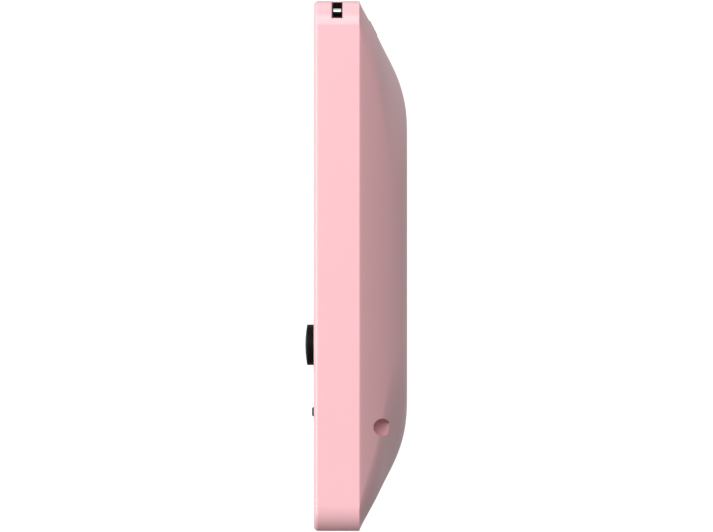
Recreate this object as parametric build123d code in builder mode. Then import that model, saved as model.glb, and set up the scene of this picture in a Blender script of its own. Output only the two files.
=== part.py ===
"""Slim toy teller machine that is also a savings bank.

A flat-sided front shell and a bulged rear shell close round a money vault. Coins go in through a slot on
the upper rear slope, notes through a slot in the top, a play bank card through a slot in the left side.
Money comes out of a hinged door on the flat of the back. Millimetres, +Z up, the face looks along -Y.
The origin lies on the flat base, half way across the width.
"""

import os
from math import cos, radians, sin, sqrt, tan

from build123d import *

os.makedirs("parts", exist_ok=True)

# ---------------------------------------------------------------- driving dimensions
HEIGHT = 200.0
WIDTH = 130.0
CORNER_R = 9.0  # corner of the case seen from the front
FRONT_Y = -9.0  # plane of the face
BAND = 17.1  # depth of the flat-sided front shell
BULGE = 18.1  # depth of the rear shell behind the parting plane
RIM_Y = FRONT_Y + BAND
BACK_Y = RIM_Y + BULGE
EDGE_R = 1.7  # rounding round the face
WALL = 2.2
FACE = 3.0  # thickness of the face
INNER_Y = FRONT_Y + FACE
MID_Z = HEIGHT / 2
GAP = 0.3  # clearance round doors and keys
FIT = 0.15  # clearance round parts that are set in

# Rear slope: a straight lean at the rim that runs into an arc, then the flat of the back.
TOP_LEAN = radians(27.4)
TOP_R = 51.3
SIDE_RUN = 40.0
SIDE_R = (SIDE_RUN**2 + BULGE**2) / (2 * BULGE)
LEAN_DEPTH = BULGE - TOP_R * (1 - cos(TOP_LEAN))
TOP_RUN = LEAN_DEPTH / tan(TOP_LEAN) + TOP_R * sin(TOP_LEAN)
CORNER_GROWTH = 1.8  # how fast the corners of the bulge round off
CORNER_SHARE = 0.9  # and the most of the half width that they take

# Face layout
SCREEN = (92.0, 56.0)
SCREEN_Z = 148.0
SCREEN_LEDGE = 3.0
LENS = 1.2
PAD_X, PAD_Z = -24.0, 82.5
KEY_PITCH = (16.2, 14.6)
KEY = (13.6, 11.8)
KEY_R = 2.2
PAD = (66.4, 62.0)
PAD_DEEP = 1.6
KEY_FLANGE = 0.9
KEY_TRAVEL = 0.8
COLUMN_X = 36.0  # centre line of the speaker and the two round buttons
OK_Z, OK_D, OK_PROUD, OK_DOME = 70.2, 15.3, 3.28, 0.7
RESET_Z, RESET_D, RESET_PROUD = 44.9, 3.5, 0.75
SPEAKER_Z, SPEAKER_D = 100.0, 27.0
BOARD_Y, BOARD_T = -3.2, 1.6
FLANGE_Y = INNER_Y + 0.1
MAT_TOP = BOARD_Y - 0.85
LIGHT_Z, LIGHT_PITCH = 84.2, 7.0

# Money path
COIN_SLOT_Z, COIN_BEZEL, COIN_GAP = 190.15, (38.0, 6.2), (31.0, 2.4)
COIN_PROUD = 0.3
NOTE_Y, NOTE_GAP, NOTE_BEZEL = 2.6, (66.0, 2.6), (72.0, 5.6)
CARD_Y, CARD_Z, CARD_GAP, CARD_BEZEL = 1.6, 150.0, (56.4, 1.8), (62.0, 4.6)
CARD_REACH = 20.5
TRAY_Z, TRAY_TOP, TRAY_X, TRAY_T = 70.0, 140.0, 44.0, 1.4
TRAY_Y = 0.4
GUIDE_X, GUIDE_T, GUIDE_REACH = 17.0, 1.1, 7.5  # guide behind the coin slot

# Doors
DOOR_X, DOOR_Z0, DOOR_Z1, DOOR_R = 24.0, 74.0, 135.0, 4.0
HINGE_X, HINGE_R, PIN_R, PIN_FIT = -26.3, 1.9, 0.8, 0.06
HINGE_Y = 23.8
LOCK_X, LOCK_Z, LOCK_D, LOCK_SHAFT = 14.0, 104.5, 11.0, 6.0
LOCK_SEAT_Y, LOCK_BOSS_Y = 24.2, 21.8  # floor of the knob recess, inner end of its boss
HATCH_X, HATCH_Z0, HATCH_Z1 = 29.0, 8.0, 55.0
TAB_X, TAB_Z1, HATCH_SCREW_Z = 6.0, 63.0, 58.5
HATCH_SCREW_D, HATCH_SCREW_HEAD = 2.6, 4.8

# Stand sockets in the side slopes and the strap eye in the top right corner
SOCKET_D, SOCKET_Y, SOCKET_Z, SOCKET_FLOOR = 6.6, FRONT_Y + 25.7, 39.1, 46.4
SOCKET_WALL = 1.8
EYE_Y, EYE_W, EYE_Z, EYE_X = -0.22, 3.95, 193.5, 48.5
EYE_WALL = 1.8
EYE_PIN_D, EYE_PIN_L, EYE_PIN_X, EYE_PIN_Z = 2.2, 6.4, 60.0, 196.0
EYE_BEVEL, EYE_SKIN, EYE_PIN_FIT = 0.4, 0.5, 0.02

# Batteries, size AA
CELL_D, CELL_L, CELL_NUB, CELL_SHIFT = 14.2, 49.0, (5.4, 1.4), -1.4
SPRING_PITCH = 1.05
CELL_Y, CELL_ZS = 2.8, (15.6, 30.4, 45.2)
BOX_X, BOX_Z0, BOX_Z1, BOX_T = 29.2, 6.9, 53.7, 1.2

# Fasteners
CASE_SCREWS = ((-40.0, 0.0), (40.0, 0.0), (-41.5, HEIGHT), (41.5, HEIGHT))
CASE_SCREW_Y = 4.2
BOARD_SCREWS = ((18.5, 61.0), (18.5, 113.5), (57.5, 61.0), (57.5, 113.5), (-59.4, 82.5))

# Alignment of round bodies that grow from the plane they are placed on
ON_BASE = (Align.CENTER, Align.CENTER, Align.MIN)


# ---------------------------------------------------------------- helpers
def at_depth(y):
    """Plane square to Y at that depth, with X and Z as its axes. A negative extrude runs backwards."""
    return Plane.XZ.offset(-y)


def slab(y, depth, width, height, radius, x=0.0, z=0.0, mode=Mode.ADD):
    """Rounded slab with its face at y, running towards the back."""
    with BuildSketch(at_depth(y)) as outline:
        with Locations((x, z)):
            RectangleRounded(width, height, radius)
    extrude(outline.sketch, amount=-depth, mode=mode)


def disc(y, depth, diameter, x=0.0, z=0.0, mode=Mode.ADD):
    """Round disc or hole along Y with its face at y, running towards the back."""
    with BuildSketch(at_depth(y)) as outline:
        with Locations((x, z)):
            Circle(diameter / 2)
    extrude(outline.sketch, amount=-depth, mode=mode)


def block(low, high, mode=Mode.ADD):
    """Box between two corners."""
    size = [b - a for a, b in zip(low, high)]
    middle = tuple((a + b) / 2 for a, b in zip(low, high))
    with Locations(middle):
        Box(*size, mode=mode)


def keep(part, name, group=False):
    """Labels a finished piece and writes its STEP file."""
    solids = part.part.solids()
    assert len(solids) == 1 or group, f"{name} has {len(solids)} solids"
    shape = Compound(children=list(solids)) if len(solids) > 1 else solids[0]
    shape.label = name
    export_step(shape, f"parts/{name}.step")


def side_inset(depth, wall=0.0):
    """How far the side of the bulge lies inside the rim, at a depth behind the parting plane."""
    return SIDE_RUN - sqrt(max(0.0, (SIDE_R - wall) ** 2 - (depth - BULGE + SIDE_R) ** 2))


def top_inset(depth, wall=0.0):
    """The same for the top and bottom of the bulge: a straight lean, then an arc."""
    turn_depth = LEAN_DEPTH - wall * cos(TOP_LEAN)
    turn_inset = LEAN_DEPTH / tan(TOP_LEAN) + wall * sin(TOP_LEAN)
    if depth < turn_depth:
        return turn_inset - (turn_depth - depth) / tan(TOP_LEAN)
    return TOP_RUN - sqrt(max(0.0, (TOP_R - wall) ** 2 - (depth - BULGE + TOP_R) ** 2))


def bulge(wall=0.0):
    """Lofts the pillow shape of the rear shell, shrunk by a wall."""
    flat = BULGE - wall
    sections = []
    for share in (0.0, 0.24, 0.46, 0.68, 0.85, 0.955, 1.0):
        depth = flat * share
        half_x = WIDTH / 2 - side_inset(depth, wall)
        half_z = HEIGHT / 2 - top_inset(depth, wall)
        radius = CORNER_R - wall + CORNER_GROWTH * side_inset(depth, wall)
        with BuildSketch(at_depth(RIM_Y + depth)) as section:
            with Locations((0, MID_Z)):
                RectangleRounded(2 * half_x, 2 * half_z, min(radius, CORNER_SHARE * half_x))
        sections.append(section.sketch.faces()[0])
    loft(sections)


def door_outline(grow=0.0):
    """Outline of the vault door, in the plane of the back."""
    with Locations((0, (DOOR_Z0 + DOOR_Z1) / 2)):
        RectangleRounded(2 * DOOR_X + 2 * grow, DOOR_Z1 - DOOR_Z0 + 2 * grow, DOOR_R + grow)


def hatch_outline(grow=0.0):
    """Outline of the battery hatch with its screw tab."""
    with Locations((0, (HATCH_Z0 + HATCH_Z1) / 2)):
        RectangleRounded(2 * HATCH_X + 2 * grow, HATCH_Z1 - HATCH_Z0 + 2 * grow, 5 + grow)
    with Locations((0, (HATCH_Z1 + TAB_Z1) / 2 - 2)):
        RectangleRounded(2 * TAB_X + 2 * grow, TAB_Z1 - HATCH_Z1 + 4 + 2 * grow, 2.5 + grow)


def on_eye_rim(edge):
    """True for the edges where the strap eye meets the outside of the top right corner."""
    point = edge.center()
    if abs(point.Y - EYE_Y) > EYE_W / 2 + 0.01 or point.X < EYE_X - 0.01 or point.Z < EYE_Z - 0.01:
        return False
    right, up = point.X - (WIDTH / 2 - CORNER_R), point.Z - (HEIGHT - CORNER_R)
    reach = sqrt(right**2 + up**2) if min(right, up) > 0 else max(right, up)
    return reach > CORNER_R - 1.0


# Plane of the coin slot, on the straight lean of the upper rear slope; local Y runs down the slope.
COIN_DEPTH = (HEIGHT - COIN_SLOT_Z) * tan(TOP_LEAN)
COIN_PLANE = Plane(
    origin=(0, RIM_Y + COIN_DEPTH, COIN_SLOT_Z),
    x_dir=(1, 0, 0),
    z_dir=(0, cos(TOP_LEAN), sin(TOP_LEAN)),
)

KEY_NAMES = (
    ("1", "2", "3", "cancel"),
    ("4", "5", "6", "clear"),
    ("7", "8", "9", "enter"),
    ("double_zero", "0", "point", "menu"),
)
KEY_PLACES = {
    name: (PAD_X + (column - 1.5) * KEY_PITCH[0], PAD_Z + (1.5 - row) * KEY_PITCH[1])
    for row, names in enumerate(KEY_NAMES)
    for column, name in enumerate(names)
}
# Hinge barrel of the vault door: five knuckles, the first, third and fifth on the rear shell.
KNUCKLE = (DOOR_Z1 - DOOR_Z0) / 5
KNUCKLES = [(DOOR_Z0 + i * KNUCKLE + 0.15, DOOR_Z0 + (i + 1) * KNUCKLE - 0.15) for i in range(5)]


def knuckle(low, high, arm_to):
    """One barrel length with an arm that reaches along X to the plate it belongs to."""
    with Locations((HINGE_X, HINGE_Y, low)):
        Cylinder(HINGE_R, high - low, align=ON_BASE)
    ends = sorted((HINGE_X, arm_to))
    block((ends[0], HINGE_Y - 0.9, low), (ends[1], HINGE_Y + 1.3, high))


def pin_hole():
    """The hole for the hinge pin through whatever the barrel has."""
    with Locations((HINGE_X, HINGE_Y, DOOR_Z0 - 0.5)):
        Cylinder(
            PIN_R + PIN_FIT,
            DOOR_Z1 - DOOR_Z0 + 1,
            align=ON_BASE,
            mode=Mode.SUBTRACT,
        )


# ---------------------------------------------------------------- front shell
with BuildPart() as front_shell:
    slab(FRONT_Y, BAND, WIDTH, HEIGHT, CORNER_R, z=MID_Z)
    fillet(front_shell.faces().sort_by(Axis.Y)[0].edges(), EDGE_R)
    slab(
        INNER_Y,
        BAND,
        WIDTH - 2 * WALL,
        HEIGHT - 2 * WALL,
        CORNER_R - WALL,
        z=MID_Z,
        mode=Mode.SUBTRACT,
    )
    # Solid corner that carries the strap eye, inside the outline of the shell.
    with BuildSketch(at_depth(INNER_Y - 0.5)):
        with Locations((0, MID_Z)):
            RectangleRounded(WIDTH - WALL, HEIGHT - WALL, CORNER_R - WALL / 2)
        with Locations((WIDTH / 2, HEIGHT)):
            Rectangle(
                2 * (WIDTH / 2 - EYE_X + EYE_WALL),
                2 * (HEIGHT - EYE_Z + EYE_WALL),
                mode=Mode.INTERSECT,
            )
    extrude(amount=-(EYE_Y + EYE_W / 2 + EYE_WALL - INNER_Y + 0.5))
    block(
        (EYE_X, EYE_Y - EYE_W / 2, EYE_Z),
        (WIDTH, EYE_Y + EYE_W / 2, HEIGHT + 5),
        mode=Mode.SUBTRACT,
    )
    chamfer(front_shell.edges().filter_by(on_eye_rim), EYE_BEVEL)
    disc(
        EYE_Y - EYE_PIN_L / 2 - 0.1,
        EYE_PIN_L + 0.2,
        EYE_PIN_D + 2 * EYE_PIN_FIT,
        EYE_PIN_X,
        EYE_PIN_Z,
        mode=Mode.SUBTRACT,
    )
    # Screen window with a ledge for the lens, and the keypad well with its key holes.
    slab(
        FRONT_Y,
        LENS,
        SCREEN[0] + 2 * SCREEN_LEDGE,
        SCREEN[1] + 2 * SCREEN_LEDGE,
        4,
        z=SCREEN_Z,
        mode=Mode.SUBTRACT,
    )
    slab(FRONT_Y, FACE, *SCREEN, 2.0, z=SCREEN_Z, mode=Mode.SUBTRACT)
    slab(FRONT_Y, PAD_DEEP, *PAD, 3.5, x=PAD_X, z=PAD_Z, mode=Mode.SUBTRACT)
    with BuildSketch(at_depth(FRONT_Y)):
        with Locations(*KEY_PLACES.values()):
            RectangleRounded(KEY[0] + 2 * GAP, KEY[1] + 2 * GAP, KEY_R + GAP)
    extrude(amount=-FACE, mode=Mode.SUBTRACT)
    # Low raised collars round the two round buttons, then their holes.
    disc(FRONT_Y - 0.13, 1.0, 19.6, COLUMN_X, OK_Z)
    disc(FRONT_Y - 0.13, 1.0, 5.0, COLUMN_X, RESET_Z)
    disc(FRONT_Y - 1, FACE + 1, OK_D + 2 * GAP, COLUMN_X, OK_Z, mode=Mode.SUBTRACT)
    disc(FRONT_Y - 1, FACE + 1, RESET_D + GAP, COLUMN_X, RESET_Z, mode=Mode.SUBTRACT)
    # Speaker grille: rings of round holes about a centre hole.
    with BuildSketch(at_depth(FRONT_Y)):
        with Locations((COLUMN_X, SPEAKER_Z)):
            Circle(0.95)
            for ring in (1, 2, 3):
                with PolarLocations(3.6 * ring, 6 * ring):
                    Circle(0.95)
    extrude(amount=-FACE, mode=Mode.SUBTRACT)
    # Three lens holes between the speaker and the round button.
    with BuildSketch(at_depth(FRONT_Y)):
        with Locations((COLUMN_X, LIGHT_Z)):
            with GridLocations(LIGHT_PITCH, 1, 3, 1):
                Circle(1.5 + FIT / 2)
    extrude(amount=-FACE, mode=Mode.SUBTRACT)
    # Slots for the note bezel in the top and the card bezel in the left side.
    block(
        (-NOTE_BEZEL[0] / 2 - FIT, NOTE_Y - NOTE_BEZEL[1] / 2 - FIT, HEIGHT - 2 * WALL),
        (NOTE_BEZEL[0] / 2 + FIT, NOTE_Y + NOTE_BEZEL[1] / 2 + FIT, HEIGHT + 1),
        mode=Mode.SUBTRACT,
    )
    block(
        (-WIDTH / 2 - 1, CARD_Y - CARD_BEZEL[1] / 2 - FIT, CARD_Z - CARD_BEZEL[0] / 2 - FIT),
        (-WIDTH / 2 + 2 * WALL, CARD_Y + CARD_BEZEL[1] / 2 + FIT, CARD_Z + CARD_BEZEL[0] / 2 + FIT),
        mode=Mode.SUBTRACT,
    )
    # Bosses for the board screws.
    with BuildSketch(at_depth(INNER_Y - 0.5)):
        with Locations(*BOARD_SCREWS):
            Circle(2.2)
    extrude(amount=-(BOARD_Y - INNER_Y + 0.5))
    with BuildSketch(at_depth(FRONT_Y + 1.2)):
        with Locations(*BOARD_SCREWS):
            Circle(0.85)
    extrude(amount=-10, mode=Mode.SUBTRACT)
    # Countersunk holes for the case screws, through the base and the top.
    for x, z in CASE_SCREWS:
        inward = 1 if z == 0 else -1
        with Locations(Plane((x, CASE_SCREW_Y, z), z_dir=(0, 0, -inward))):
            CounterSinkHole(1.5, 2.8, depth=4, counter_sink_angle=90)

# Lining of the strap eye, and the steel pin that a strap loops round.
with BuildPart() as strap_eye:
    block(
        (EYE_X + 0.05, EYE_Y - EYE_W / 2 + 0.05, EYE_Z + 0.05),
        (WIDTH, EYE_Y + EYE_W / 2 - 0.05, HEIGHT),
    )
    slab(
        FRONT_Y,
        BAND,
        WIDTH - 2 * EYE_BEVEL,
        HEIGHT - 2 * EYE_BEVEL,
        CORNER_R - EYE_BEVEL,
        z=MID_Z,
        mode=Mode.INTERSECT,
    )
    block(
        (EYE_X + EYE_SKIN, EYE_Y - EYE_W / 2 + EYE_SKIN, EYE_Z + EYE_SKIN),
        (WIDTH, EYE_Y + EYE_W / 2 - EYE_SKIN, HEIGHT),
        mode=Mode.SUBTRACT,
    )
    disc(
        EYE_Y - EYE_W,
        2 * EYE_W,
        EYE_PIN_D + 2 * EYE_PIN_FIT,
        EYE_PIN_X,
        EYE_PIN_Z,
        mode=Mode.SUBTRACT,
    )

with BuildPart() as strap_pin:
    disc(EYE_Y - EYE_PIN_L / 2, EYE_PIN_L, EYE_PIN_D, EYE_PIN_X, EYE_PIN_Z)

# ---------------------------------------------------------------- rear shell and its doors
with BuildPart() as rear_skin:
    bulge()
with BuildPart() as rear_hollow:
    bulge(WALL)
with BuildPart() as rear_room:
    bulge(WALL + GAP)
    slab(
        INNER_Y + GAP,
        RIM_Y - INNER_Y,
        WIDTH - 2 * WALL - 3,
        HEIGHT - 2 * WALL - 3,
        CORNER_R - WALL - 1,
        z=MID_Z,
    )

with BuildPart() as closed_rear:
    add(rear_skin.part)
    add(rear_hollow.part, mode=Mode.SUBTRACT)

with BuildPart() as socket_cups:
    for side in (-1, 1):
        with BuildSketch(Plane.YZ.offset(side * (SOCKET_FLOOR - SOCKET_WALL))):
            with Locations((SOCKET_Y, SOCKET_Z)):
                Circle(SOCKET_D / 2 + SOCKET_WALL)
        extrude(amount=side * 20)
    add(rear_skin.part, mode=Mode.INTERSECT)

with BuildPart() as rear_shell:
    add(closed_rear.part)
    # Tongue that sits inside the walls of the front shell.
    with BuildSketch(at_depth(RIM_Y - 2.4)):
        with Locations((0, MID_Z)):
            outside, inside = WALL + FIT, WALL + FIT + 1.2
            RectangleRounded(WIDTH - 2 * outside, HEIGHT - 2 * outside, CORNER_R - outside)
            RectangleRounded(
                WIDTH - 2 * inside, HEIGHT - 2 * inside, CORNER_R - inside, mode=Mode.SUBTRACT
            )
    extrude(amount=-2.8)
    # Lugs that the case screws bite into.
    for x, z in CASE_SCREWS:
        inward = 1 if z == 0 else -1
        near, far = z + inward * (WALL + FIT), z + inward * 10.5
        block((x - 3.6, 0.6, min(near, far)), (x + 3.6, RIM_Y + 0.9, max(near, far)))
        with Locations((x, CASE_SCREW_Y, (near + far) / 2)):
            Cylinder(1.3, 9, mode=Mode.SUBTRACT)
    add(socket_cups.part)
    for side in (-1, 1):
        with BuildSketch(Plane.YZ.offset(side * SOCKET_FLOOR)):
            with Locations((SOCKET_Y, SOCKET_Z)):
                Circle(SOCKET_D / 2)
        extrude(amount=side * 20, mode=Mode.SUBTRACT)
    # Opening for the vault door, with the slot beside it for the hinge barrel.
    with BuildSketch(at_depth(RIM_Y + 4)):
        door_outline(GAP)
    extrude(amount=-BULGE, mode=Mode.SUBTRACT)
    block(
        (HINGE_X - HINGE_R - 0.4, RIM_Y + 8, DOOR_Z0 - GAP),
        (-DOOR_X + 2.2, BACK_Y + 1, DOOR_Z1 + GAP),
        mode=Mode.SUBTRACT,
    )
    for low, high in KNUCKLES[::2]:
        knuckle(low, high, HINGE_X - HINGE_R - 2.4)
    pin_hole()
    # Strike that the lock cam turns behind.
    block((DOOR_X + GAP, 21.9, LOCK_Z - 5), (DOOR_X + 5, BACK_Y - WALL, LOCK_Z + 5))
    # Opening for the battery hatch, with a pad under its screw tab.
    with BuildSketch(at_depth(RIM_Y + 1)):
        hatch_outline(GAP)
    extrude(amount=-BULGE, mode=Mode.SUBTRACT)
    block(
        (-TAB_X - 2.5, BACK_Y - WALL - 3, HATCH_Z1 + 1.2),
        (TAB_X + 2.5, BACK_Y - WALL - GAP, TAB_Z1 + 2.5),
    )
    for side in (-1, 1):
        ends = sorted((side * (TAB_X + GAP), side * (TAB_X + 2.5)))
        block(
            (ends[0], BACK_Y - WALL - 3, HATCH_Z1 + 1.2),
            (ends[1], BACK_Y - WALL + 0.4, TAB_Z1 + 2.5),
        )
    disc(RIM_Y, BULGE + 1, HATCH_SCREW_D + 0.5, z=HATCH_SCREW_Z, mode=Mode.SUBTRACT)
    # Seat for the coin slot bezel.
    with BuildSketch(COIN_PLANE.offset(1)):
        RectangleRounded(COIN_BEZEL[0] + 2 * FIT, COIN_BEZEL[1] + 2 * FIT, 2)
    extrude(amount=-6, mode=Mode.SUBTRACT)

with BuildPart() as vault_door:
    add(closed_rear.part)
    with BuildSketch(at_depth(RIM_Y + 4)):
        door_outline()
    extrude(amount=-BULGE, mode=Mode.INTERSECT)
    disc(LOCK_BOSS_Y, BACK_Y - LOCK_BOSS_Y - 1, LOCK_D + 4, LOCK_X, LOCK_Z)
    for low, high in KNUCKLES[1::2]:
        knuckle(low, high, -DOOR_X + 1)
    pin_hole()
    disc(LOCK_SEAT_Y, 5, LOCK_D + 2 * GAP, LOCK_X, LOCK_Z, mode=Mode.SUBTRACT)
    disc(LOCK_BOSS_Y - 1, 6, LOCK_SHAFT + 2 * PIN_FIT, LOCK_X, LOCK_Z, mode=Mode.SUBTRACT)

with BuildPart() as hinge_pin:
    with Locations((HINGE_X, HINGE_Y, DOOR_Z0 + 0.2)):
        Cylinder(PIN_R, DOOR_Z1 - DOOR_Z0 - 0.4, align=ON_BASE)

# The lock knob has a coin slot across it; its square end carries the cam.
with BuildPart() as lock_knob:
    disc(LOCK_SEAT_Y + 0.15, BACK_Y - 0.2 - LOCK_SEAT_Y - 0.15, LOCK_D, LOCK_X, LOCK_Z)
    fillet(lock_knob.faces().sort_by(Axis.Y)[-1].edges(), 0.4)
    disc(LOCK_BOSS_Y - 0.2, LOCK_SEAT_Y - LOCK_BOSS_Y + 1, LOCK_SHAFT, LOCK_X, LOCK_Z)
    slab(LOCK_BOSS_Y - 1.6, 2, 3.6, 3.6, 0.3, LOCK_X, LOCK_Z)
    block(
        (LOCK_X - 0.7, BACK_Y - 1.0, LOCK_Z - LOCK_D / 2),
        (LOCK_X + 0.7, BACK_Y + 1, LOCK_Z + LOCK_D / 2),
        mode=Mode.SUBTRACT,
    )

with BuildPart() as lock_cam:
    with BuildSketch(at_depth(LOCK_BOSS_Y - 1.4)):
        with Locations((LOCK_X, LOCK_Z)):
            Circle(3.8)
        with Locations((LOCK_X, LOCK_Z - 6.3)):
            RectangleRounded(5.2, 12.6, 1.2)
        with Locations((LOCK_X, LOCK_Z)):
            Rectangle(3.6, 3.6, mode=Mode.SUBTRACT)
    extrude(amount=-1.1)

with BuildPart() as battery_hatch:
    add(closed_rear.part)
    with BuildSketch(at_depth(RIM_Y + 1)):
        hatch_outline()
    extrude(amount=-BULGE, mode=Mode.INTERSECT)
    # Grip grooves for a thumb, and the sunk hole for the screw.
    for step in range(3):
        groove = 49 + 1.8 * step
        block((-7, BACK_Y - 0.5, groove), (7, BACK_Y + 1, groove + 0.8), mode=Mode.SUBTRACT)
    disc(BACK_Y - 1.1, 2, HATCH_SCREW_HEAD + 0.5, z=HATCH_SCREW_Z, mode=Mode.SUBTRACT)
    disc(RIM_Y, BULGE + 1, HATCH_SCREW_D + 0.4, z=HATCH_SCREW_Z, mode=Mode.SUBTRACT)

with BuildPart() as hatch_screw:
    disc(BACK_Y - 1.05, 0.95, HATCH_SCREW_HEAD, z=HATCH_SCREW_Z)
    disc(BACK_Y - 5.6, 5, HATCH_SCREW_D, z=HATCH_SCREW_Z)
    for half_x, half_z in ((1.9, 0.35), (0.35, 1.9)):
        block(
            (-half_x, BACK_Y - 0.6, HATCH_SCREW_Z - half_z),
            (half_x, BACK_Y + 1, HATCH_SCREW_Z + half_z),
            mode=Mode.SUBTRACT,
        )

# ---------------------------------------------------------------- face: screen, keys, lights, speaker
with BuildPart() as screen_lens:
    ledge = SCREEN_LEDGE - FIT
    slab(FRONT_Y + 0.02, LENS - 0.04, SCREEN[0] + 2 * ledge, SCREEN[1] + 2 * ledge, 3.85, z=SCREEN_Z)

with BuildPart() as lcd_glass:
    slab(INNER_Y + 0.15, 1.4, SCREEN[0] + 4, SCREEN[1] + 4, 0.5, z=SCREEN_Z)

with BuildPart() as lcd_frame:
    slab(INNER_Y + 0.15, 2.4, SCREEN[0] + 7.4, SCREEN[1] + 5.8, 0.8, z=SCREEN_Z)
    slab(INNER_Y, 1.6, SCREEN[0] + 4.2, SCREEN[1] + 4.2, 0.6, z=SCREEN_Z, mode=Mode.SUBTRACT)
    slab(INNER_Y, 4, SCREEN[0] - 6, SCREEN[1] - 6, 2, z=SCREEN_Z, mode=Mode.SUBTRACT)

with BuildPart() as lcd_board:
    slab(BOARD_Y - 0.2, 1.2, SCREEN[0] + 10, SCREEN[1] + 5.6, 1, z=SCREEN_Z)

with BuildPart() as display_ribbon:
    block((-16, BOARD_Y + BOARD_T + 0.05, 108), (6, BOARD_Y + BOARD_T + 0.35, 126))
    block((-16, BOARD_Y + 1.1, 122.6), (6, BOARD_Y + BOARD_T + 0.35, 126))

with BuildPart() as main_board:
    block((-61.5, BOARD_Y, BOX_Z1 + 0.6), (61.5, BOARD_Y + BOARD_T, 116.8))
    block((BOX_X + 1, BOARD_Y, 38), (61.5, BOARD_Y + BOARD_T, BOX_Z1 + 1))
    disc(BOARD_Y - 1, 4, SPEAKER_D + 1.2, COLUMN_X, SPEAKER_Z, mode=Mode.SUBTRACT)
    for x, z in BOARD_SCREWS:
        disc(BOARD_Y - 1, 4, 2.3, x, z, mode=Mode.SUBTRACT)

with BuildPart() as board_chips:
    back = BOARD_Y + BOARD_T
    for x, z, wide, tall, deep in (
        (-50, 62, 9, 9, 1.0),
        (-36, 62, 6, 8, 1.2),
        (24, 76, 6, 8, 1.2),
        (50, 76, 8, 5, 1.3),
        (-53, 104, 5, 11, 1.0),
    ):
        slab(back, deep, wide, tall, 0.3, x, z)

with BuildPart() as keypad_mat:
    slab(BOARD_Y - 0.5, 0.5, PAD[0] - 0.6, PAD[1] - 7, 2, PAD_X, PAD_Z)
    with BuildSketch(at_depth(MAT_TOP)):
        with Locations(*KEY_PLACES.values()):
            Circle(3.0)
    extrude(amount=-0.6)

with BuildPart() as column_mat:
    disc(BOARD_Y - 0.5, 0.5, 17, COLUMN_X, OK_Z)
    block((COLUMN_X - 3, BOARD_Y - 0.5, RESET_Z), (COLUMN_X + 3, BOARD_Y, OK_Z))
    disc(BOARD_Y - 0.5, 0.5, 8, COLUMN_X, RESET_Z)
    disc(MAT_TOP, 0.6, 8, COLUMN_X, OK_Z)
    disc(MAT_TOP, 0.6, 3, COLUMN_X, RESET_Z)

for name, (x, z) in KEY_PLACES.items():
    with BuildPart() as key:
        slab(FRONT_Y + 0.1, FLANGE_Y - FRONT_Y, *KEY, KEY_R, x, z)
        fillet(key.faces().sort_by(Axis.Y)[0].edges(), 0.5)
        slab(FLANGE_Y, KEY_FLANGE, KEY[0] + 1.8, KEY[1] + 1.8, KEY_R + 0.5, x, z)
    keep(key, f"key_{name}")

with BuildPart() as ok_pad:
    disc(FRONT_Y - OK_PROUD + OK_DOME, FACE + OK_PROUD - OK_DOME + 0.2, OK_D, COLUMN_X, OK_Z)
    cap_r = ((OK_D / 2) ** 2 + OK_DOME**2) / (2 * OK_DOME)
    with BuildPart(mode=Mode.PRIVATE) as cap:
        disc(FRONT_Y - OK_PROUD - 1, 5, OK_D, COLUMN_X, OK_Z)
        with Locations((COLUMN_X, FRONT_Y - OK_PROUD + cap_r, OK_Z)):
            Sphere(cap_r, mode=Mode.INTERSECT)
    add(cap.part)
    disc(FLANGE_Y, KEY_FLANGE, OK_D + 2.4, COLUMN_X, OK_Z)

with BuildPart() as reset_button:
    disc(FRONT_Y - RESET_PROUD + 0.35, FACE + RESET_PROUD - 0.15, RESET_D, COLUMN_X, RESET_Z)
    disc(FRONT_Y - RESET_PROUD, 1, RESET_D, COLUMN_X, RESET_Z)
    fillet(reset_button.faces().sort_by(Axis.Y)[0].edges(), 0.6)
    disc(FLANGE_Y, KEY_FLANGE, RESET_D + 2, COLUMN_X, RESET_Z)

with BuildPart() as light_pipes:
    with BuildSketch(at_depth(FRONT_Y + 0.05)):
        with Locations((COLUMN_X, LIGHT_Z)):
            with GridLocations(LIGHT_PITCH, 1, 3, 1):
                Circle(1.5)
    extrude(amount=-4.4)

with BuildPart() as status_leds:
    with BuildSketch(at_depth(BOARD_Y - 1)):
        with Locations((COLUMN_X, LIGHT_Z)):
            with GridLocations(LIGHT_PITCH, 1, 3, 1):
                Rectangle(2, 1.4)
    extrude(amount=-1)

with BuildPart() as speaker_frame:
    disc(INNER_Y + 0.1, 4.4, SPEAKER_D, COLUMN_X, SPEAKER_Z)
    disc(INNER_Y, 3.6, SPEAKER_D - 3, COLUMN_X, SPEAKER_Z, mode=Mode.SUBTRACT)
    disc(INNER_Y, 8, 12, COLUMN_X, SPEAKER_Z, mode=Mode.SUBTRACT)

with BuildPart() as speaker_cone:
    for forward, mode in ((1.0, Mode.ADD), (0.6, Mode.SUBTRACT)):
        with Locations(Plane((COLUMN_X, INNER_Y + forward, SPEAKER_Z), z_dir=(0, 1, 0))):
            Cone(SPEAKER_D / 2 - 1.6, 6.5, 2.2, align=ON_BASE, mode=mode)

with BuildPart() as speaker_magnet:
    disc(INNER_Y + 4.55, 1.7, 16, COLUMN_X, SPEAKER_Z)
    disc(INNER_Y + 3.4, 1.3, 11.6, COLUMN_X, SPEAKER_Z)

# ---------------------------------------------------------------- money path
with BuildPart() as coin_bezel:
    with BuildSketch(COIN_PLANE.offset(COIN_PROUD)):
        RectangleRounded(*COIN_BEZEL, 1.9)
    extrude(amount=-COIN_PROUD - WALL + 0.1)
    with BuildSketch(COIN_PLANE.offset(COIN_PROUD)):
        RectangleRounded(*COIN_GAP, 1.1)
    extrude(amount=-10, mode=Mode.SUBTRACT)

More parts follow.
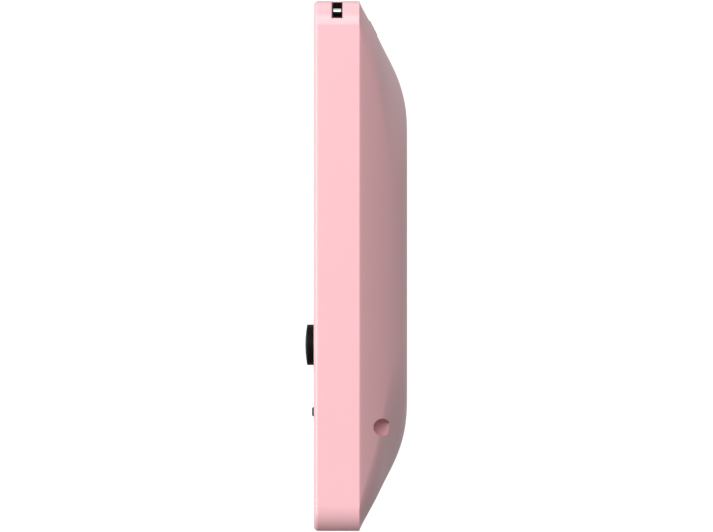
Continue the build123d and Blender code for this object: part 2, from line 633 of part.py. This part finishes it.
# Short shelf with two cheeks: a coin slides in over it and tips off its end into the tray.
with BuildPart() as coin_guide:
    with BuildSketch(COIN_PLANE.offset(-WALL + 0.05)):
        with Locations((0, COIN_GAP[1] / 2 - 1.5)):
            Rectangle(2 * GUIDE_X, 3 + 2 * GUIDE_T)
        with Locations((0, COIN_GAP[1] / 2 - 3)):
            Rectangle(2 * (GUIDE_X - GUIDE_T), 6, mode=Mode.SUBTRACT)
    extrude(amount=-GUIDE_REACH + WALL)

with BuildPart() as coin_sensor:
    with BuildSketch(COIN_PLANE.offset(-WALL - 1)):
        with Locations((GUIDE_X + 1.75, 0)):
            Rectangle(3.4, 4)
    extrude(amount=-4)

with BuildPart() as note_bezel:
    block(
        (-NOTE_BEZEL[0] / 2, NOTE_Y - NOTE_BEZEL[1] / 2, HEIGHT - WALL),
        (NOTE_BEZEL[0] / 2, NOTE_Y + NOTE_BEZEL[1] / 2, HEIGHT - 0.05),
    )
    block(
        (-NOTE_GAP[0] / 2 - 1.1, NOTE_Y - 2.3, HEIGHT - 11),
        (NOTE_GAP[0] / 2 + 1.1, NOTE_Y + 2.3, HEIGHT - WALL + 0.5),
    )
    block(
        (-NOTE_GAP[0] / 2, NOTE_Y - NOTE_GAP[1] / 2, HEIGHT - 20),
        (NOTE_GAP[0] / 2, NOTE_Y + NOTE_GAP[1] / 2, HEIGHT + 1),
        mode=Mode.SUBTRACT,
    )

with BuildPart() as card_reader:
    block(
        (-WIDTH / 2 + 0.05, CARD_Y - CARD_BEZEL[1] / 2, CARD_Z - CARD_BEZEL[0] / 2),
        (-WIDTH / 2 + WALL, CARD_Y + CARD_BEZEL[1] / 2, CARD_Z + CARD_BEZEL[0] / 2),
    )
    block(
        (-WIDTH / 2 + WALL - 0.5, CARD_Y - 2.0, CARD_Z - CARD_GAP[0] / 2 - 1.2),
        (-WIDTH / 2 + CARD_REACH, CARD_Y + 2.0, CARD_Z + CARD_GAP[0] / 2 + 1.2),
    )
    block(
        (-WIDTH / 2 - 1, CARD_Y - CARD_GAP[1] / 2, CARD_Z - CARD_GAP[0] / 2),
        (-WIDTH / 2 + CARD_REACH - 1.2, CARD_Y + CARD_GAP[1] / 2, CARD_Z + CARD_GAP[0] / 2),
        mode=Mode.SUBTRACT,
    )

# Open at the top for the money and at the back for the door.
with BuildPart() as money_tray:
    block((-TRAY_X, TRAY_Y, TRAY_Z), (TRAY_X, BACK_Y, TRAY_TOP))
    block(
        (-TRAY_X + TRAY_T, TRAY_Y + TRAY_T, TRAY_Z + TRAY_T),
        (TRAY_X - TRAY_T, BACK_Y + 1, TRAY_TOP + 1),
        mode=Mode.SUBTRACT,
    )
    add(rear_room.part, mode=Mode.INTERSECT)
    # Clear of the hinge barrel, the strike and the pad under the hatch screw.
    block((-DOOR_X - 7, 21.4, TRAY_Z - 1), (DOOR_X + 7, BACK_Y, TRAY_TOP + 1), mode=Mode.SUBTRACT)

# ---------------------------------------------------------------- battery bay
with BuildPart() as battery_box:
    block((-BOX_X, INNER_Y + 0.2, BOX_Z0), (BOX_X, BACK_Y, BOX_Z1))
    block(
        (-BOX_X + BOX_T, INNER_Y + 1.3, BOX_Z0 + BOX_T),
        (BOX_X - BOX_T, BACK_Y + 1, BOX_Z1 - BOX_T),
        mode=Mode.SUBTRACT,
    )
    add(rear_room.part, mode=Mode.INTERSECT)

for number, z in enumerate(CELL_ZS, 1):
    end = 1 if number % 2 else -1
    with BuildPart() as cell:
        with Locations(Plane((-end * CELL_L / 2 - end * CELL_SHIFT, CELL_Y, z), z_dir=(end, 0, 0))):
            Cylinder(CELL_D / 2, CELL_L, align=ON_BASE)
            Cylinder(CELL_NUB[0] / 2, CELL_L + CELL_NUB[1], align=ON_BASE)
        fillet(cell.edges().filter_by(GeomType.CIRCLE).sort_by(SortBy.RADIUS)[-2:], 0.5)
    keep(cell, f"cell_{number}")

inner_x = BOX_X - BOX_T
with BuildPart() as contact_plates:
    for number, z in enumerate(CELL_ZS, 1):
        end = 1 if number % 2 else -1
        ends = sorted((end * (inner_x - 0.05), end * (inner_x - 0.45)))
        block((ends[0], CELL_Y - 4, z - 4.5), (ends[1], CELL_Y + 5, z + 4.5))

with BuildPart() as contact_springs:
    for number, z in enumerate(CELL_ZS, 1):
        end = -1 if number % 2 else 1
        start = end * (inner_x - 0.35)
        with BuildPart(mode=Mode.PRIVATE) as spring:
            with BuildLine() as wire:
                centre = (start, CELL_Y, z)
                Helix(SPRING_PITCH, SPRING_PITCH * 3, 3.6, center=centre, direction=(-end, 0, 0))
            with BuildSketch(Plane(wire.line @ 0, z_dir=wire.line % 0)):
                Circle(0.25)
            sweep()
        add(spring.part)

# ---------------------------------------------------------------- fasteners
with BuildPart() as case_screws:
    for x, z in CASE_SCREWS:
        inward = 1 if z == 0 else -1
        with Locations(Plane((x, CASE_SCREW_Y, z + inward * 0.1), z_dir=(0, 0, inward))):
            Cone(2.65, 1.25, 1.4, align=ON_BASE)
            Cylinder(1.25, 9, align=ON_BASE)
            with Locations((0, 0, 0.35)):
                Box(3, 0.6, 0.8, mode=Mode.SUBTRACT)
                Box(0.6, 3, 0.8, mode=Mode.SUBTRACT)

with BuildPart() as board_screws:
    for x, z in BOARD_SCREWS:
        back = BOARD_Y + BOARD_T
        disc(back + 0.05, 1.1, 4, x, z)
        disc(FRONT_Y + 2.2, back - FRONT_Y - 1.6, 1.6, x, z)
        block((x - 1.2, back + 0.6, z - 0.25), (x + 1.2, back + 3.4, z + 0.25), mode=Mode.SUBTRACT)

# ---------------------------------------------------------------- hand out
SINGLE_PIECES = {
    "front_shell": front_shell,
    "strap_eye": strap_eye,
    "strap_pin": strap_pin,
    "rear_shell": rear_shell,
    "vault_door": vault_door,
    "hinge_pin": hinge_pin,
    "lock_knob": lock_knob,
    "lock_cam": lock_cam,
    "battery_hatch": battery_hatch,
    "hatch_screw": hatch_screw,
    "screen_lens": screen_lens,
    "lcd_glass": lcd_glass,
    "lcd_frame": lcd_frame,
    "lcd_board": lcd_board,
    "display_ribbon": display_ribbon,
    "main_board": main_board,
    "keypad_mat": keypad_mat,
    "column_mat": column_mat,
    "ok_pad": ok_pad,
    "reset_button": reset_button,
    "speaker_frame": speaker_frame,
    "speaker_cone": speaker_cone,
    "speaker_magnet": speaker_magnet,
    "coin_bezel": coin_bezel,
    "coin_guide": coin_guide,
    "coin_sensor": coin_sensor,
    "note_bezel": note_bezel,
    "card_reader": card_reader,
    "money_tray": money_tray,
    "battery_box": battery_box,
}
GROUPS = {
    "board_chips": board_chips,
    "light_pipes": light_pipes,
    "status_leds": status_leds,
    "contact_plates": contact_plates,
    "contact_springs": contact_springs,
    "case_screws": case_screws,
    "board_screws": board_screws,
}
for name, piece in SINGLE_PIECES.items():
    keep(piece, name)
for name, piece in GROUPS.items():
    keep(piece, name, group=True)
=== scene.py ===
"""Looks of the slim toy teller machine: materials, printed key marks, display digits, lights and camera."""

import math

import bpy
from mathutils import Matrix, Vector


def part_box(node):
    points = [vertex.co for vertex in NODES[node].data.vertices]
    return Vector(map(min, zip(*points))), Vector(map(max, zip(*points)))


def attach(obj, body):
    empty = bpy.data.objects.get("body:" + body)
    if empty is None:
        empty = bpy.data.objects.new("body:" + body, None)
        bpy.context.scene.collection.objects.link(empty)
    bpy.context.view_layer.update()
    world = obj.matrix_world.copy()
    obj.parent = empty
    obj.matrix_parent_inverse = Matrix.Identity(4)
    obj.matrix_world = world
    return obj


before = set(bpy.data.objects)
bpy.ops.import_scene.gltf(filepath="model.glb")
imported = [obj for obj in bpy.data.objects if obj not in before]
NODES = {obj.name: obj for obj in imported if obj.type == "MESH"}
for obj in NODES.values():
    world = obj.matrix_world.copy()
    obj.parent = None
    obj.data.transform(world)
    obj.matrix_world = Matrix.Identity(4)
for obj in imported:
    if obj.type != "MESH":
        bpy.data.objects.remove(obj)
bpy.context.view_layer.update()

# ---------------------------------------------------------------- named values
PINK = (0.80, 0.452, 0.486)
BLACK = (0.004, 0.003, 0.0035)
CAMERA_LENS = 1200.0
SENSOR_WIDTH = 36.0
PICTURE_WIDTH = 0.27075  # metres across the picture at the middle of the object
LOOK_AT = Vector((0.0, 0.00704, 0.1))
UPRIGHT = Matrix.Rotation(math.radians(90), 4, "X")  # stands a flat glyph up, so that it looks along -Y

SCREEN_WINDOW = (-0.043, 0.043, 0.123, 0.173)  # clear part of the lens: low x, high x, low z, high z
GLYPH_HEIGHT = 0.0078
PRINT_THICKNESS = 0.00003
PRINT_LIFT = 0.00001  # gap between a key's face and the middle of its print

DIGIT_W, DIGIT_H, STROKE = 0.0115, 0.021, 0.0023
DIGIT_BOTTOM = 0.1375
DIGIT_LEFTS = (-0.0280, -0.0040, 0.0120)
SEGMENT_GAP = 0.0003  # half the gap between an upper and a lower upright bar
POINT_LEFT, POINT_W = -0.0122, 0.0027
SEGMENT_PROUD, SEGMENT_SUNK = 0.00005, 0.00001  # how far the bars stand before and behind the glass face


# ---------------------------------------------------------------- materials
class Shader:
    """A node material under construction."""

    def __init__(self, name):
        self.material = bpy.data.materials.new(name)
        self.material.use_nodes = True
        self.tree = self.material.node_tree
        self.body = self.tree.nodes["Principled BSDF"]
        self.coords = self.add("ShaderNodeTexCoord")

    def add(self, kind, **settings):
        node = self.tree.nodes.new(kind)
        for key, value in settings.items():
            setattr(node, key, value)
        return node

    def link(self, source, target):
        self.tree.links.new(source, target)

    def noise(self, scale, detail=3.0, stretch=(1, 1, 1)):
        mapping = self.add("ShaderNodeMapping")
        mapping.inputs["Scale"].default_value = stretch
        self.link(self.coords.outputs["Object"], mapping.inputs["Vector"])
        noise = self.add("ShaderNodeTexNoise")
        noise.inputs["Scale"].default_value = scale
        noise.inputs["Detail"].default_value = detail
        self.link(mapping.outputs["Vector"], noise.inputs["Vector"])
        return noise.outputs["Fac"]

    def spread(self, value, low, high):
        remap = self.add("ShaderNodeMapRange")
        remap.inputs["To Min"].default_value = low
        remap.inputs["To Max"].default_value = high
        self.link(value, remap.inputs["Value"])
        return remap.outputs["Result"]

    def tint(self, value, colour, swing):
        """Base colour that drifts a little round the given one."""
        mix = self.add("ShaderNodeMix", data_type="RGBA")
        mix.inputs["A"].default_value = (*[c * (1 - swing) for c in colour], 1)
        mix.inputs["B"].default_value = (*[min(1, c * (1 + swing)) for c in colour], 1)
        self.link(value, mix.inputs["Factor"])
        self.link(mix.outputs["Result"], self.body.inputs["Base Color"])

    def bump(self, value, strength, distance):
        bump = self.add("ShaderNodeBump")
        bump.inputs["Strength"].default_value = strength
        bump.inputs["Distance"].default_value = distance
        self.link(value, bump.inputs["Height"])
        self.link(bump.outputs["Normal"], self.body.inputs["Normal"])


def plastic(name, colour, rough=0.42, grain=900.0, bump=0.06, soft=0.0, coat=0.0):
    """Moulded plastic: faint colour drift, fine spark-eroded grain."""
    s = Shader(name)
    s.tint(s.noise(35.0), colour, 0.015)
    grit = s.noise(grain, 2.0)
    s.link(s.spread(grit, rough - 0.05, rough + 0.05), s.body.inputs["Roughness"])
    s.bump(grit, bump, 0.00006)
    s.body.inputs["Subsurface Weight"].default_value = soft
    s.body.inputs["Subsurface Radius"].default_value = (0.004, 0.002, 0.0018)
    s.body.inputs["Coat Weight"].default_value = coat
    s.body.inputs["Coat Roughness"].default_value = 0.1
    return s.material


def metal(name, colour, rough=0.28):
    """Drawn or rolled steel with a faint lengthways brush."""
    s = Shader(name)
    brush = s.noise(1400.0, 4.0, (0.05, 1, 1))
    s.tint(brush, colour, 0.06)
    s.body.inputs["Metallic"].default_value = 1.0
    s.link(s.spread(brush, rough - 0.08, rough + 0.08), s.body.inputs["Roughness"])
    s.bump(brush, 0.1, 0.00003)
    return s.material


def board(name):
    """Circuit board: green mask over faint copper tracks."""
    s = Shader(name)
    tracks = s.add("ShaderNodeTexBrick")
    tracks.inputs["Scale"].default_value = 190.0
    tracks.inputs["Mortar Size"].default_value = 0.06
    tracks.inputs["Color1"].default_value = (0.012, 0.105, 0.035, 1)
    tracks.inputs["Color2"].default_value = (0.015, 0.12, 0.04, 1)
    tracks.inputs["Mortar"].default_value = (0.04, 0.22, 0.08, 1)
    turn = s.add("ShaderNodeMapping")
    turn.inputs["Rotation"].default_value = (math.radians(90), 0, 0)
    s.link(s.coords.outputs["Object"], turn.inputs["Vector"])
    s.link(turn.outputs["Vector"], tracks.inputs["Vector"])
    s.link(tracks.outputs["Color"], s.body.inputs["Base Color"])
    s.body.inputs["Roughness"].default_value = 0.35
    return s.material


def lens(name, window):
    """Clear lens with a printed black border round the window."""
    s = Shader(name)
    parts = s.add("ShaderNodeSeparateXYZ")
    s.link(s.coords.outputs["Object"], parts.inputs["Vector"])
    inside = None
    for axis, edge, kind in (
        ("X", window[0], "GREATER_THAN"),
        ("X", window[1], "LESS_THAN"),
        ("Z", window[2], "GREATER_THAN"),
        ("Z", window[3], "LESS_THAN"),
    ):
        test = s.add("ShaderNodeMath", operation=kind)
        test.inputs[1].default_value = edge
        s.link(parts.outputs[axis], test.inputs[0])
        if inside is None:
            inside = test.outputs["Value"]
            continue
        both = s.add("ShaderNodeMath", operation="MULTIPLY")
        s.link(inside, both.inputs[0])
        s.link(test.outputs["Value"], both.inputs[1])
        inside = both.outputs["Value"]
    s.tint(s.noise(60.0), BLACK, 0.05)
    s.link(s.spread(s.noise(300.0), 0.05, 0.10), s.body.inputs["Roughness"])
    s.link(s.spread(inside, 1.0, 0.10), s.body.inputs["Alpha"])
    return s.material


def display(name):
    """Reflective display glass with a faint cell grid."""
    s = Shader(name)
    grid = s.add("ShaderNodeTexChecker")
    grid.inputs["Scale"].default_value = 1100.0
    grid.inputs["Color1"].default_value = (0.33, 0.40, 0.27, 1)
    grid.inputs["Color2"].default_value = (0.31, 0.38, 0.255, 1)
    s.link(s.coords.outputs["Object"], grid.inputs["Vector"])
    s.link(grid.outputs["Color"], s.body.inputs["Base Color"])
    s.body.inputs["Roughness"].default_value = 0.22
    return s.material


def sleeve(name):
    """Printed sleeve of a dry cell: dark body with one bright band, along X."""
    s = Shader(name)
    parts = s.add("ShaderNodeSeparateXYZ")
    s.link(s.coords.outputs["Object"], parts.inputs["Vector"])
    band = s.add("ShaderNodeMath", operation="GREATER_THAN")
    band.inputs[1].default_value = 0.011
    s.link(parts.outputs["X"], band.inputs[0])
    mix = s.add("ShaderNodeMix", data_type="RGBA")
    mix.inputs["A"].default_value = (0.02, 0.05, 0.16, 1)
    mix.inputs["B"].default_value = (0.70, 0.42, 0.12, 1)
    s.link(band.outputs["Value"], mix.inputs["Factor"])
    s.link(mix.outputs["Result"], s.body.inputs["Base Color"])
    s.link(s.spread(s.noise(500.0), 0.2, 0.3), s.body.inputs["Roughness"])
    return s.material


pink = plastic("pink_plastic", PINK, rough=0.30, bump=0.03, soft=0.05, coat=0.2)
black = plastic("black_plastic", BLACK, rough=0.5, grain=1200.0)
black.node_tree.nodes["Principled BSDF"].inputs["Specular IOR Level"].default_value = 0.08
inner = plastic("inner_plastic", (0.62, 0.62, 0.64), rough=0.55)
cap_white = plastic("cap_white", (0.78, 0.78, 0.79), rough=0.5)
cap_red = plastic("cap_red", (0.62, 0.02, 0.03), rough=0.45)
cap_yellow = plastic("cap_yellow", (0.80, 0.50, 0.03), rough=0.45)
cap_green = plastic("cap_green", (0.03, 0.33, 0.08), rough=0.45)
silicone = plastic("silicone", (0.50, 0.51, 0.53), rough=0.7)
steel = metal("steel", (0.62, 0.62, 0.63))
chip = plastic("chip", (0.015, 0.015, 0.016), rough=0.6)
flex = plastic("flex_cable", (0.72, 0.72, 0.66), rough=0.35)
clear = plastic("light_pipe", (0.75, 0.80, 0.76), rough=0.12)
clear.node_tree.nodes["Principled BSDF"].inputs["Transmission Weight"].default_value = 0.55
diode = plastic("diode", (0.80, 0.80, 0.72), rough=0.3)
paper = plastic("cone_paper", (0.02, 0.02, 0.02), rough=0.8, grain=600.0, bump=0.3)
ferrite = plastic("ferrite", (0.06, 0.06, 0.065), rough=0.5)
ink_dark = plastic("ink_dark", (0.03, 0.03, 0.035), rough=0.5)
ink_light = plastic("ink_light", (0.85, 0.85, 0.85), rough=0.5)
segment = plastic("display_segment", (0.02, 0.03, 0.02), rough=0.4)
green_board = board("circuit_board")
glass = lens("screen_window", SCREEN_WINDOW)
display_glass = display("display_glass")
cell_sleeve = sleeve("cell_sleeve")

LOOKS = {
    pink: ("front_shell", "rear_shell", "vault_door", "battery_hatch"),
    black: (
        "ok_pad", "reset_button", "coin_bezel", "note_bezel", "card_reader", "lock_knob",
        # strap_eye in black is painted shade: a dark liner that stands in for the shadow deep inside the
        # strap notch
        "strap_eye",
    ),
    steel: (
        "hinge_pin", "lock_cam", "hatch_screw", "lcd_frame", "speaker_frame", "strap_pin",
        "contact_plates", "contact_springs", "case_screws", "board_screws",
    ),
    inner: ("coin_guide", "money_tray", "battery_box"),
    chip: ("board_chips", "coin_sensor"),
    silicone: ("keypad_mat", "column_mat"),
    green_board: ("main_board", "lcd_board"),
    glass: ("screen_lens",),
    display_glass: ("lcd_glass",),
    flex: ("display_ribbon",),
    clear: ("light_pipes",),
    diode: ("status_leds",),
    paper: ("speaker_cone",),
    ferrite: ("speaker_magnet",),
    cell_sleeve: ("cell_1", "cell_2", "cell_3"),
    cap_red: ("key_cancel",),
    cap_yellow: ("key_clear",),
    cap_green: ("key_enter",),
}
given = {name: material for material, names in LOOKS.items() for name in names}
for name, node in NODES.items():
    node.data.materials.clear()
    node.data.materials.append(given.get(name, cap_white))


# ---------------------------------------------------------------- printed marks
def add_piece(name, mesh, material, body):
    """A mesh as a piece of its own, that moves with a body."""
    mesh.materials.clear()
    mesh.materials.append(material)
    piece = bpy.data.objects.new(name, mesh)
    bpy.context.scene.collection.objects.link(piece)
    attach(piece, body)


def mark(name, text, centre, material, body):
    """A glyph printed on a face that looks along -Y, as a thin mesh; centre is (x, y, z) in metres."""
    curve = bpy.data.curves.new(name, "FONT")
    curve.body = text
    curve.size = GLYPH_HEIGHT
    curve.align_x = "CENTER"
    curve.align_y = "CENTER"
    curve.extrude = PRINT_THICKNESS / 2
    source = bpy.data.objects.new(name, curve)
    bpy.context.scene.collection.objects.link(source)
    bpy.context.view_layer.update()
    mesh = bpy.data.meshes.new_from_object(source.evaluated_get(bpy.context.evaluated_depsgraph_get()))
    bpy.data.objects.remove(source)
    xs = [v.co.x for v in mesh.vertices]
    ys = [v.co.y for v in mesh.vertices]
    to_middle = Matrix.Translation((-(min(xs) + max(xs)) / 2, -(min(ys) + max(ys)) / 2, 0))
    mesh.transform(Matrix.Translation(centre) @ UPRIGHT @ to_middle)
    add_piece(name, mesh, material, body)


GLYPHS = {
    "double_zero": "00", "point": ".", "cancel": "X", "clear": "<", "enter": "O", "menu": "=",
}
for name in [n for n in NODES if n.startswith("key_")]:
    key = name.removeprefix("key_")
    low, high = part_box(name)
    centre = ((low.x + high.x) / 2, low.y - PRINT_LIFT, (low.z + high.z) / 2)
    ink, slot = (ink_light, "key_rubber") if key in ("cancel", "enter") else (ink_dark, "black_plastic")
    mark(f"mark_{key}", GLYPHS.get(key, key), centre, ink, name)


# ---------------------------------------------------------------- display digits
def bars(name, boxes, material, body):
    """Thin boxes, given as (low corner, high corner) pairs in metres, joined into one piece."""
    verts, faces = [], []
    for low, high in boxes:
        base = len(verts)
        xs, ys, zs = zip(low, high)
        verts += [(x, y, z) for x in xs for y in ys for z in zs]
        for quad in ((0, 1, 3, 2), (4, 6, 7, 5), (0, 4, 5, 1), (2, 3, 7, 6), (0, 2, 6, 4), (1, 5, 7, 3)):
            faces.append([base + i for i in quad])
    mesh = bpy.data.meshes.new(name)
    mesh.from_pydata(verts, [], faces)
    add_piece(name, mesh, material, body)


def zero(left):
    """The six lit bars of a zero, each as (low x, high x, low z, high z)."""
    right, top, middle = left + DIGIT_W, DIGIT_BOTTOM + DIGIT_H, DIGIT_BOTTOM + DIGIT_H / 2
    spans = [
        (left + STROKE, right - STROKE, DIGIT_BOTTOM, DIGIT_BOTTOM + STROKE),
        (left + STROKE, right - STROKE, top - STROKE, top),
    ]
    for x in (left, right - STROKE):
        spans.append((x, x + STROKE, DIGIT_BOTTOM + STROKE / 2, middle - SEGMENT_GAP))
        spans.append((x, x + STROKE, middle + SEGMENT_GAP, top - STROKE / 2))
    return spans


# Seven-bar zeros with a decimal point: the reading of an empty bank.
spans = [span for left in DIGIT_LEFTS for span in zero(left)]
spans.append((POINT_LEFT, POINT_LEFT + POINT_W, DIGIT_BOTTOM, DIGIT_BOTTOM + POINT_W))
glass_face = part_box("lcd_glass")[0].y
front, rear = glass_face - SEGMENT_PROUD, glass_face + SEGMENT_SUNK
boxes = [((x0, front, z0), (x1, rear, z1)) for x0, x1, z0, z1 in spans]
bars("display_digits", boxes, segment, "case")

# ---------------------------------------------------------------- lights
scene = bpy.context.scene
scene.view_settings.view_transform = "Standard"
scene.view_settings.look = "None"

world = bpy.data.worlds.new("studio")
scene.world = world
world.use_nodes = True
tree = world.node_tree
tree.nodes.clear()
out = tree.nodes.new("ShaderNodeOutputWorld")
path = tree.nodes.new("ShaderNodeLightPath")
seen = tree.nodes.new("ShaderNodeBackground")
seen.inputs["Color"].default_value = (1, 1, 1, 1)
seen.inputs["Strength"].default_value = 1.05
lit = tree.nodes.new("ShaderNodeBackground")
coords = tree.nodes.new("ShaderNodeTexCoord")
parts = tree.nodes.new("ShaderNodeSeparateXYZ")
tree.links.new(coords.outputs["Generated"], parts.inputs["Vector"])


def ramp(source, start, end, low, high):
    """Strength that runs from low to high as a direction's component goes from start to end."""
    remap = tree.nodes.new("ShaderNodeMapRange")
    remap.interpolation_type = "SMOOTHSTEP"
    remap.inputs["From Min"].default_value = start
    remap.inputs["From Max"].default_value = end
    remap.inputs["To Min"].default_value = low
    remap.inputs["To Max"].default_value = high
    tree.links.new(source, remap.inputs["Value"])
    return remap.outputs["Result"]


def combine(operation, first, second):
    """One strength out of two, by a math operation."""
    node = tree.nodes.new("ShaderNodeMath")
    node.operation = operation
    tree.links.new(first, node.inputs[0])
    tree.links.new(second, node.inputs[1])
    return node.outputs["Value"]


# Soft room: bright above, dim below, lighter before the face, a pale wall on the side away from the camera.
room = combine(
    "ADD",
    ramp(parts.outputs["Z"], -0.9, 0.9, 0.12, 0.58),
    ramp(parts.outputs["Y"], 0.2, -0.9, 0.0, 0.25),
)
wall = combine(
    "MULTIPLY",
    ramp(parts.outputs["X"], -0.90, -0.99, 0.0, 0.1),
    ramp(parts.outputs["Z"], -0.3, 0.1, 0.0, 1.0),
)
room = combine("ADD", room, wall)
lit.inputs["Color"].default_value = (1.0, 0.99, 0.985, 1)
tree.links.new(room, lit.inputs["Strength"])
mix = tree.nodes.new("ShaderNodeMixShader")
tree.links.new(path.outputs["Is Camera Ray"], mix.inputs["Fac"])
tree.links.new(lit.outputs["Background"], mix.inputs[1])
tree.links.new(seen.outputs["Background"], mix.inputs[2])
tree.links.new(mix.outputs["Shader"], out.inputs["Surface"])


def lamp(name, place, size, power):
    """Rectangular area light, size (wide, tall), aimed at the middle of the object."""
    data = bpy.data.lights.new(name, "AREA")
    data.shape = "RECTANGLE"
    data.size, data.size_y = size
    data.energy = power
    lamp_object = bpy.data.objects.new(name, data)
    scene.collection.objects.link(lamp_object)
    lamp_object.location = place
    aim = LOOK_AT - Vector(place)
    lamp_object.rotation_euler = aim.to_track_quat("-Z", "Y").to_euler()


lamp("key", place=(2.2, -0.05, 1.3), size=(1.8, 1.8), power=34.0)
lamp("strip", place=(1.08, -1.29, 0.1), size=(0.75, 2.2), power=23.5)
lamp("ceiling", place=(-0.35, 0.1, 1.8), size=(1.0, 1.2), power=3.0)

# ---------------------------------------------------------------- camera
camera_data = bpy.data.cameras.new("camera")
camera_data.lens = CAMERA_LENS
camera_data.sensor_width = SENSOR_WIDTH
camera_data.clip_end = 40.0
camera = bpy.data.objects.new("camera", camera_data)
scene.collection.objects.link(camera)
scene.camera = camera
distance = PICTURE_WIDTH * CAMERA_LENS / SENSOR_WIDTH
camera.location = LOOK_AT + Vector((distance, 0, 0))
camera.rotation_mode = "QUATERNION"
camera.rotation_quaternion = Vector((-1, 0, 0)).to_track_quat("-Z", "Y")
